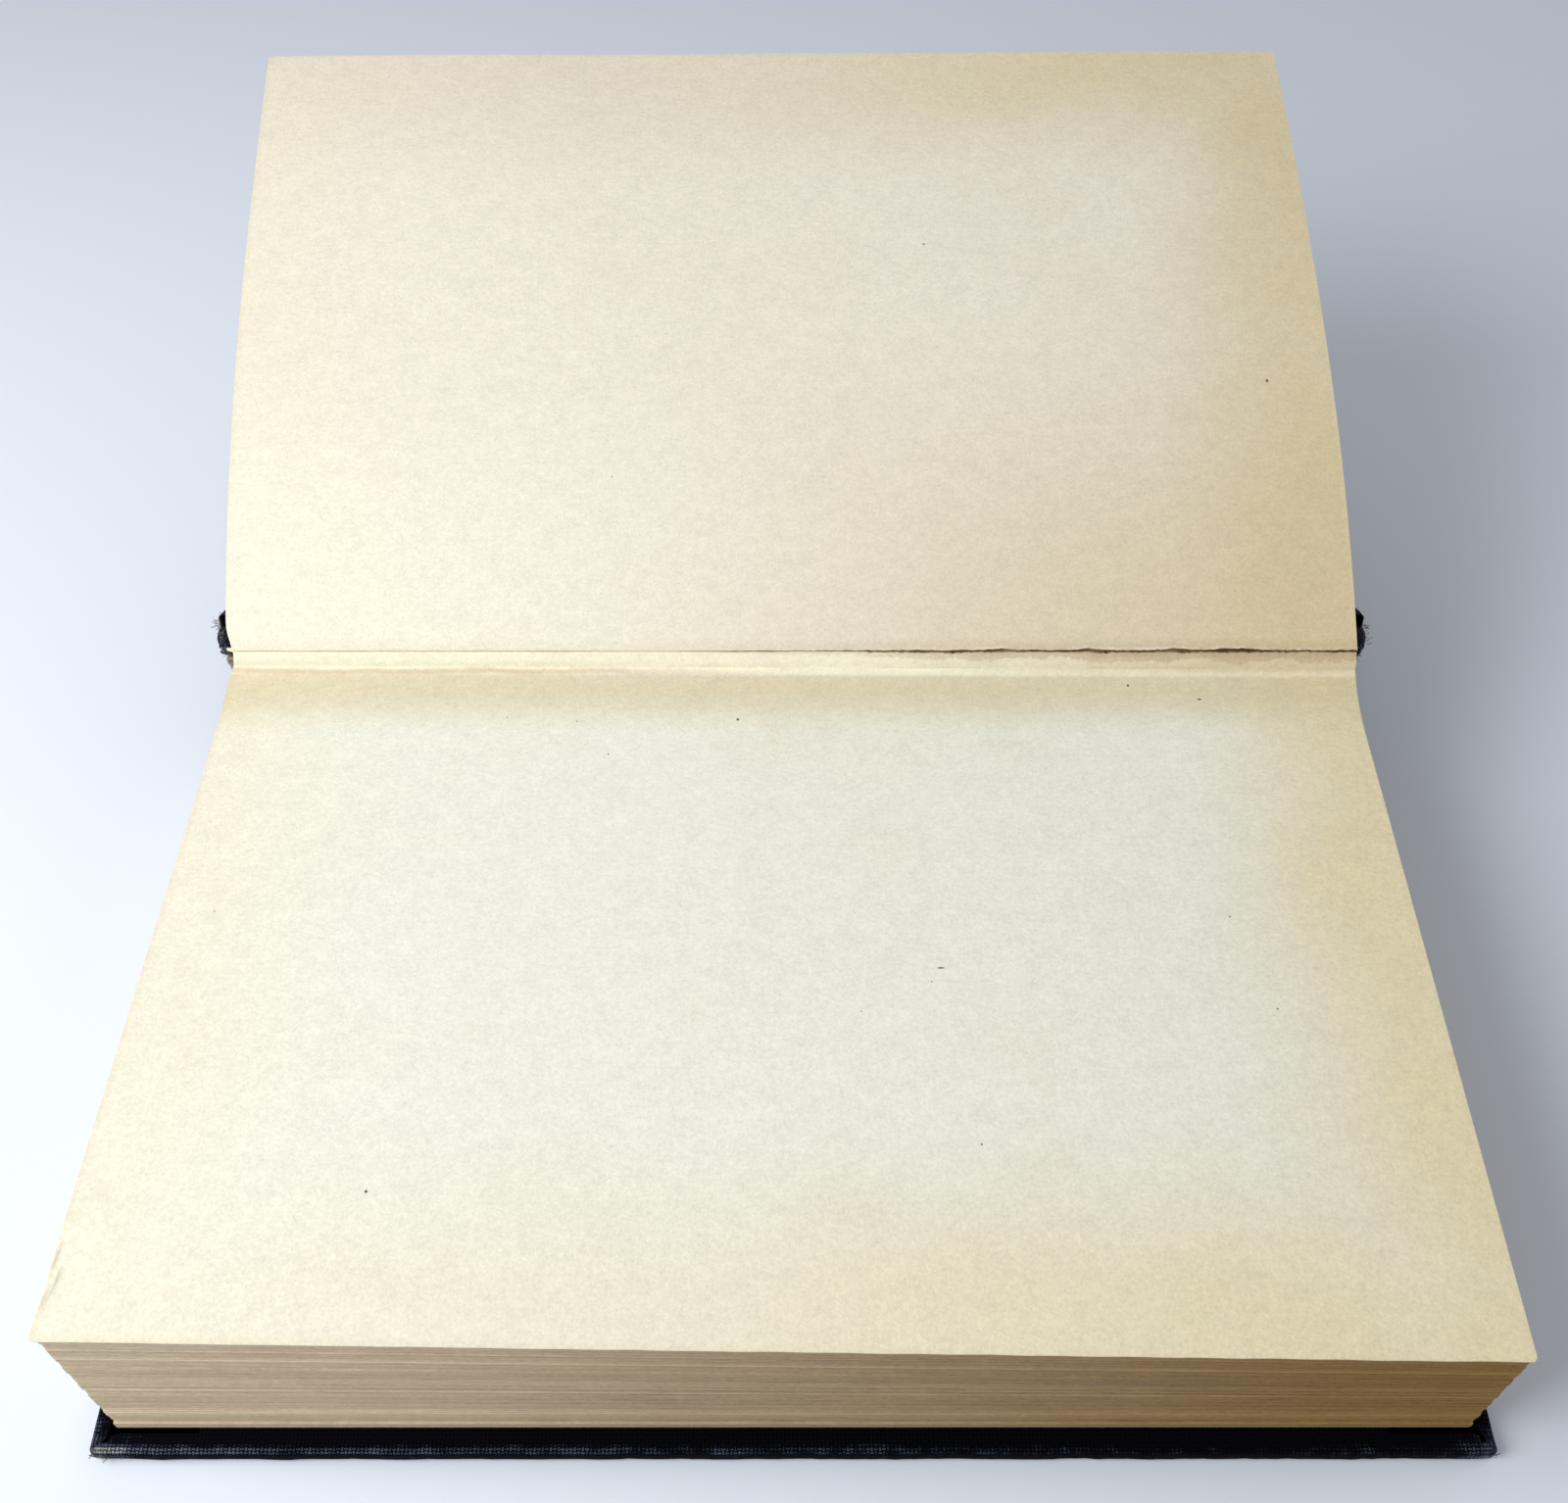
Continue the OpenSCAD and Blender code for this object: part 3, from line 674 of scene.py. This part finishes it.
def cover_outline():
    """Points round the three free edges from head to tail: place, outward way and corner centre."""
    path = []
    near, far = COVER_FORE + CORNER_R, BOARD_BACK

    def round_corner(side, first):
        centre = (side * (COVER_HALF - CORNER_R), near)
        for a in np.linspace(first, first + 90, 15):
            way = (math.cos(math.radians(a)), math.sin(math.radians(a)))
            place = (centre[0] + CORNER_R * way[0], centre[1] + CORNER_R * way[1])
            path.append((place, way, (centre, (-side, 1))))

    for y in np.linspace(far, near, 62)[:-1]:
        path.append(((-COVER_HALF, y), (-1, 0), None))
    round_corner(-1, 180)
    for x in np.linspace(CORNER_R - COVER_HALF, COVER_HALF - CORNER_R, 132)[1:-1]:
        path.append(((x, COVER_FORE), (0, -1), None))
    round_corner(1, 270)
    for y in np.linspace(near, far, 62)[1:]:
        path.append(((COVER_HALF, y), (1, 0), None))
    return path


def inset(point, way, corner, depth):
    """A point of the outline moved in by a depth, mitred past a corner's own centre."""
    if corner is None or depth <= CORNER_R:
        return point[0] - way[0] * depth, point[1] - way[1] * depth
    (cx, cy), (sx, sy) = corner
    return cx + sx * (depth - CORNER_R), cy + sy * (depth - CORNER_R)


def cover_cloth(name, seed, carry, joint_path, strip_t, flare):
    """One cover's cloth, made flat on the table and carried to where the cover lies."""
    quarter = np.radians(np.linspace(0, 90, 7))
    outer = [(RIM_D, 0.0), (3.5, 0.0), (1.6, 0.0)]
    outer += [(EDGE_R * (1 - math.sin(q)), EDGE_R * (1 - math.cos(q))) for q in quarter]
    outer += [(0.0, COVER_T * 0.42), (0.0, COVER_T * 0.58)]
    outer += [(EDGE_R * (1 - math.cos(q)), COVER_T - EDGE_R * (1 - math.sin(q))) for q in quarter]
    outer += [(1.6, COVER_T), (3.5, COVER_T), (HEM_D, COVER_T), (TURN_IN, COVER_T)]
    inner = [(TURN_IN, COVER_T - CLOTH_T), (HEM_D, COVER_T - CLOTH_T), (CLOTH_T, COVER_T - CLOTH_T),
             (CLOTH_T, CLOTH_T), (RIM_D, CLOTH_T)]
    loop = outer + inner
    unrolled = np.concatenate([[0], np.cumsum(np.hypot(*np.diff(np.array(outer), axis=0).T))])
    path = cover_outline()
    points, plan, wear = [], [], []
    travel = np.concatenate([[0], np.cumsum([math.dist(a[0], b[0]) for a, b in zip(path, path[1:])])])
    corner_at = [(-COVER_HALF, COVER_FORE), (COVER_HALF, COVER_FORE)]
    for i, (point, way, corner) in enumerate(path):
        away = min(math.dist(point, c) for c in corner_at)
        rub = math.exp(-(away / RUB_REACH) ** 2)
        uneven = UNEVEN * ripple(travel[i], seed, 6, 26, 3.0)
        uneven = uneven + FINE_UNEVEN * ripple(travel[i], seed + 1, 5, 4.0, 1.2)
        swollen = flare * math.exp(-((BOARD_BACK - point[1]) / FLARE_REACH) ** 2)
        rub = max(rub, (0.55 if point[0] < 0 else 0.35) * swollen)
        for k, (depth, level) in enumerate(loop):
            edge = k < len(outer) and depth < 1.5
            worn = max(uneven, -0.1) + RUB_DEPTH * rub if edge else 0.0
            px, py = inset(point, way, corner, depth + worn - swollen * max(1 - depth / HEM_D, 0))
            soft = SOFTENED * ripple(travel[i] + 7 * k, seed + 2, 4, 18, 3.0) if edge else 0.0
            points.append((px, py, min(max(level + soft, 0.0), COVER_T)))
            base = inset(point, way, corner, RIM_D)
            roll = unrolled[k] if k < len(outer) else RIM_D - depth
            plan.append((base[0] + way[0] * roll, base[1] + way[1] * roll))
            arris = math.exp(-((level - ARRIS_AT * COVER_T) / ARRIS_W) ** 2)
            arris = arris * (0.34 - 0.26 * point[0] / COVER_HALF)
            on_edge = 0.2 + (0.85 * arris if way[1] < -0.5 else 0.2 * arris) if edge else 0.05
            wear.append(min(1.0, on_edge + 0.75 * rub * (0.6 if level > COVER_T * 0.6 else 1.0)))
    n = len(loop)
    faces = [(i * n + k, i * n + (k + 1) % n, (i + 1) * n + (k + 1) % n, (i + 1) * n + k)
             for i in range(len(path) - 1) for k in range(n) if k != n - 1]
    last = (len(path) - 1) * n
    ends = [tuple(range(n)), tuple(last + k for k in reversed(range(n)))]
    panel = [tuple(i * n for i in range(len(path))),
             tuple(i * n + n - 1 for i in reversed(range(len(path))))]
    close = [(0, n - 1, last + n - 1, last)]
    mesh = bpy.data.meshes.new(name)
    placed = carry(np.array(points))
    joint = np.array(joint_path)
    turns = np.linspace(-1, 1, 121)
    ragged = 0.3 * (1 + ripple(np.arange(len(joint)) * 1.3, seed + 5, 5, 5, 1.4))[:, None]
    ragged = ragged * np.where(turns < 0, 1.0, 0.25)[None]
    ragged = ragged * np.clip(np.arange(len(joint)) / 4 - 0.5, 0, 1)[:, None]
    run = np.concatenate([[0], np.cumsum(np.hypot(*np.diff(joint, axis=0).T))])
    half = COVER_HALF + flare * (1 - (run[:, None] / run[-1]) ** 2) - ragged
    grid_y = np.broadcast_to(joint[:, :1], (len(joint), turns.size))
    grid_z = np.broadcast_to(joint[:, 1:], (len(joint), turns.size))
    strip_top = np.stack([turns[None] * half, grid_y, grid_z], -1)
    strip_plan = np.stack(np.broadcast_arrays(turns[None] * half, BOARD_BACK + run[:, None]), -1)
    strip_wear = 0.2 + 0.6 * np.broadcast_to(np.clip((abs(turns) - 0.97) / 0.03, 0, 1), strip_top.shape[:2])
    strip = sheet_piece(name + "_joint", strip_top, strip_t, book_cloth, {"wear": strip_wear}, strip_plan)
    mesh.from_pydata((placed * MM).tolist(), [], faces + ends + panel + close)
    mesh.attributes.new("wear", "FLOAT", "POINT").data.foreach_set("value", np.array(wear, np.float32))
    corner_of = np.zeros(len(mesh.loops), np.int32)
    mesh.loops.foreach_get("vertex_index", corner_of)
    spread = (np.array(plan) * MM)[corner_of]
    mesh.uv_layers.new(name="plan").data.foreach_set("uv", spread.astype(np.float32).ravel())
    mesh.materials.append(book_cloth)
    tidy_faces(mesh)
    piece = bpy.data.objects.new(name, mesh)
    bpy.context.scene.collection.objects.link(piece)
    work = bmesh.new()
    work.from_mesh(mesh)
    work.from_mesh(strip.data)
    work.to_mesh(mesh)
    work.free()
    bpy.data.objects.remove(strip)
    mesh.set_sharp_from_angle(angle=CRISP_EDGE)
    return piece


def stay(points):
    return points


def open_front(points):
    """From the back cover's place, face down, to the open front cover."""
    y = points[:, 1] - HINGE_Y
    z = FRONT_OUT_Z - points[:, 2] - HINGE_Z
    a = -math.pi - COVER_LEAN
    return np.stack([points[:, 0], HINGE_Y + y * math.cos(a) - z * math.sin(a),
                     HINGE_Z + y * math.sin(a) + z * math.cos(a)], -1)


back_joint = [(BOARD_BACK, 0.0), (60.5, 0.0), (62.5, 0.0), (63.8, 0.0), (64.5, 0.03), (64.95, 0.14),
              (65.24, 0.36), (65.38, 0.7), (65.44, 1.1)]
back_cloth = cover_cloth("back_cover_cloth", seed=71, carry=stay, joint_path=back_joint,
                         strip_t=-CLOTH_T, flare=0.0)
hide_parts("back_cloth")
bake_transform(back_cloth)

strip_far = open_front(np.array([(0, BOARD_BACK, 0), (0, 60.5, 0), (0, 62.5, 0), (0, 63.6, 0)]))[:, 1:]
front_joint = [tuple(p) for p in strip_far]
front_joint += [(66.2, 35.29), (65.8, 35.36), (65.56, 35.28), (65.47, 35.0), (65.47, 34.7)]
front_cloth = cover_cloth("front_cover_cloth", seed=91, carry=open_front, joint_path=front_joint,
                          strip_t=CLOTH_T, flare=FRONT_FLARE)
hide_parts("front_cloth")
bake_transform(front_cloth)

# The frayed threads: weft ends that hang loose where the cloth is worn through, at the fore corners of the
# back cover, at the ends of the front cover's joint and at head and tail of the spine.
THREAD_R, THREAD_L = 0.075, 1.2
THREAD_SIZES, THREAD_SPREAD, FULL_TURN = (0.2, 0.75), 0.55, 6.28


def thread_finish():
    material, place, shader = start_finish("frayed_thread", 0.95, 0.05)
    tone = read_mark(place, "tone")
    colour = tone.mix((0.006, 0.006, 0.008, 1), (0.34, 0.32, 0.26, 1))
    feed(shader, Base_Color=colour)
    return material


def thread_tree(material):
    """Sets a thin bent thread on every root point, turned and sized by the point's own marks."""
    tree = bpy.data.node_groups.new("frayed_threads", "GeometryNodeTree")
    tree.interface.new_socket("Roots", in_out="INPUT", socket_type="NodeSocketGeometry")
    for name in ("Length", "Radius"):
        tree.interface.new_socket(name, in_out="INPUT", socket_type="NodeSocketFloat")
    tree.interface.new_socket("Threads", in_out="OUTPUT", socket_type="NodeSocketGeometry")
    given = tree.nodes.new("NodeGroupInput")
    asked = {s.name: Field(tree, s) for s in given.outputs if s.name}
    f = Field(tree)
    sway = f.node("ShaderNodeCombineXYZ", None, {0: asked["Length"] * 0.3, 2: asked["Length"] * 0.5})
    tip = f.node("ShaderNodeCombineXYZ", None, {
        0: asked["Length"] * 0.2, 1: asked["Length"] * 0.25, 2: asked["Length"]})
    path = f.node("GeometryNodeCurveQuadraticBezier", None, {"Resolution": 6, "Middle": sway, "End": tip,
                                                             "Start": (0, 0, 0)})
    ring = f.node("GeometryNodeCurvePrimitiveCircle", None, {"Resolution": 5, "Radius": asked["Radius"]})
    thread = f.node("GeometryNodeCurveToMesh", None, {
        "Curve": path, "Profile Curve": ring, "Fill Caps": True})
    turn = f.node("GeometryNodeInputNamedAttribute", {"data_type": "FLOAT_VECTOR"}, {"Name": "turn"})
    size = f.node("GeometryNodeInputNamedAttribute", {"data_type": "FLOAT"}, {"Name": "size"})
    laid = f.node("GeometryNodeInstanceOnPoints", None, {
        "Points": asked["Roots"], "Instance": thread, "Scale": size,
        "Rotation": f.node("FunctionNodeEulerToRotation", None, {"Euler": turn})})
    loose = f.node("GeometryNodeRealizeInstances", None, {0: laid})
    done = f.node("GeometryNodeSetMaterial", None, {"Geometry": loose, "Material": material})
    tree.links.new(done.socket, tree.nodes.new("NodeGroupOutput").inputs[0])
    return tree


threads = thread_tree(thread_finish())


def frayed(name, seed, body, spots):
    """Loose threads round a few worn spots: place in mm, way out, spread in mm and count."""
    pick = np.random.default_rng(seed)
    roots, turns, sizes, tones = [], [], [], []
    for at, way, spread, count in spots:
        for _ in range(count):
            roots.append((np.array(at) + pick.normal(0, 1, 3) * spread) * MM)
            aim = Vector(np.array(way) + pick.normal(0, THREAD_SPREAD, 3))
            spin = Matrix.Rotation(pick.uniform(0, FULL_TURN), 3, "Z")
            turns.append(tuple((aim.to_track_quat("Z", "Y").to_matrix() @ spin).to_euler()))
            sizes.append(pick.uniform(*THREAD_SIZES))
            tones.append(pick.uniform() ** 1.6)
    mesh = bpy.data.meshes.new(name + "_roots")
    mesh.from_pydata([tuple(r) for r in roots], [], [])
    turn = mesh.attributes.new("turn", "FLOAT_VECTOR", "POINT")
    turn.data.foreach_set("vector", np.ravel(turns).astype(np.float32))
    for mark, values in (("size", sizes), ("tone", tones)):
        mesh.attributes.new(mark, "FLOAT", "POINT").data.foreach_set("value", np.array(values, np.float32))
    piece = grown(name, mesh, threads, Length=THREAD_L * MM, Radius=THREAD_R * MM)
    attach(piece, body)
    return piece


frayed("back_cover_threads", 101, "back_cover", [
    ((-98.1, -58.5, 1.3), (-0.4, -0.5, 0.9), (0.15, 0.15, 0.4), 14),
    ((-95.2, -58.85, 1.2), (-0.2, -0.3, 1.0), (1.5, 0.03, 0.35), 20),
    ((98.1, -58.5, 1.3), (0.4, -0.5, 0.9), (0.15, 0.15, 0.4), 8),
    ((94.5, -58.85, 1.2), (0.2, -0.3, 1.0), (1.0, 0.03, 0.3), 7)])
frayed("front_cover_threads", 102, "front_cover", [
    ((-99.9, 71.2, 35.6), (-1.0, -0.2, 0.5), (0.25, 0.9, 0.6), 44),
    ((-98.9, 68.4, 35.4), (-1.0, -0.2, 0.4), (0.2, 0.5, 0.4), 24),
    ((99.9, 69.8, 35.2), (1.0, -0.2, 0.3), (0.15, 1.3, 0.6), 26)])
frayed("spine_threads", 103, "book_block", [
    ((-97.3, 65.3, 33.2), (-1.0, -0.3, 0.3), (0.3, 0.3, 0.9), 26),
    ((98.2, 65.3, 33.6), (1.0, -0.4, 0.3), (0.2, 0.3, 0.7), 14),
    ((-98.0, 67.5, 18.0), (-1.0, 0.2, 0.0), (0.2, 0.5, 5.0), 14)])

# The stage: a plain pale table, a large soft window light from the left and an even sky.
TABLE_HALF, TABLE_Z, SKY_STRENGTH = 3, -0.0002, 0.36

floor_mesh = bpy.data.meshes.new("table")
floor_mesh.from_pydata([(x * TABLE_HALF, y * TABLE_HALF, TABLE_Z)
                        for x, y in ((-1, -1), (1, -1), (1, 1), (-1, 1))], [], [(0, 1, 2, 3)])
floor = bpy.data.objects.new("table", floor_mesh)
bpy.context.scene.collection.objects.link(floor)
table_white, _, table_shader = start_finish("table_white", 0.8, 0.2)
table_shader.inputs["Base Color"].default_value = (0.82, 0.88, 0.98, 1)
floor_mesh.materials.append(table_white)

sky = bpy.data.worlds.new("even_sky")
bpy.context.scene.world = sky
sky.use_nodes = True
sky.node_tree.nodes["Background"].inputs["Color"].default_value = (0.93, 0.95, 1.0, 1)
sky.node_tree.nodes["Background"].inputs["Strength"].default_value = SKY_STRENGTH


def soft_lamp(name, at, aim, size, power, colour):
    light = bpy.data.lights.new(name, "AREA")
    light.shape, light.size, light.energy, light.color = "SQUARE", size, power, colour
    lamp = bpy.data.objects.new(name, light)
    bpy.context.scene.collection.objects.link(lamp)
    lamp.location = at
    lamp.rotation_euler = (Vector(aim) - Vector(at)).to_track_quat("-Z", "Y").to_euler()
    return lamp


soft_lamp("window", at=(-0.43, -0.13, 0.40), aim=(0.0, 0.02, 0.03), size=0.40, power=3.3,
          colour=(0.985, 0.99, 0.97))
soft_lamp("room", at=(0.60, 0.05, 0.45), aim=(0.05, 0.03, 0.0), size=0.5, power=0.45,
          colour=(1.0, 0.93, 0.78))

CAMERA_AT = (-1.51, -136.28, 244.13)
CAMERA_PITCH, CAMERA_YAW, CAMERA_ROLL = 49.52, 0.06, 0.04
FOCUS_PX, PHOTO_W_PX, SENSOR_W = 1712.43, 1600, 36.0

pitch, yaw, roll = (math.radians(a) for a in (CAMERA_PITCH, CAMERA_YAW, CAMERA_ROLL))
forward = Vector((math.sin(yaw) * math.cos(pitch), math.cos(yaw) * math.cos(pitch), -math.sin(pitch)))
lens = bpy.data.cameras.new("camera")
lens.sensor_width, lens.lens = SENSOR_W, FOCUS_PX / PHOTO_W_PX * SENSOR_W
camera = bpy.data.objects.new("camera", lens)
bpy.context.scene.collection.objects.link(camera)
camera.location = Vector(CAMERA_AT) * MM
level_view = forward.to_track_quat("-Z", "Y").to_matrix()
camera.rotation_euler = (level_view @ Matrix.Rotation(roll, 3, "Z")).to_euler()
lens.clip_start = 0.01
bpy.context.scene.camera = camera
bpy.context.scene.view_settings.view_transform = "Standard"
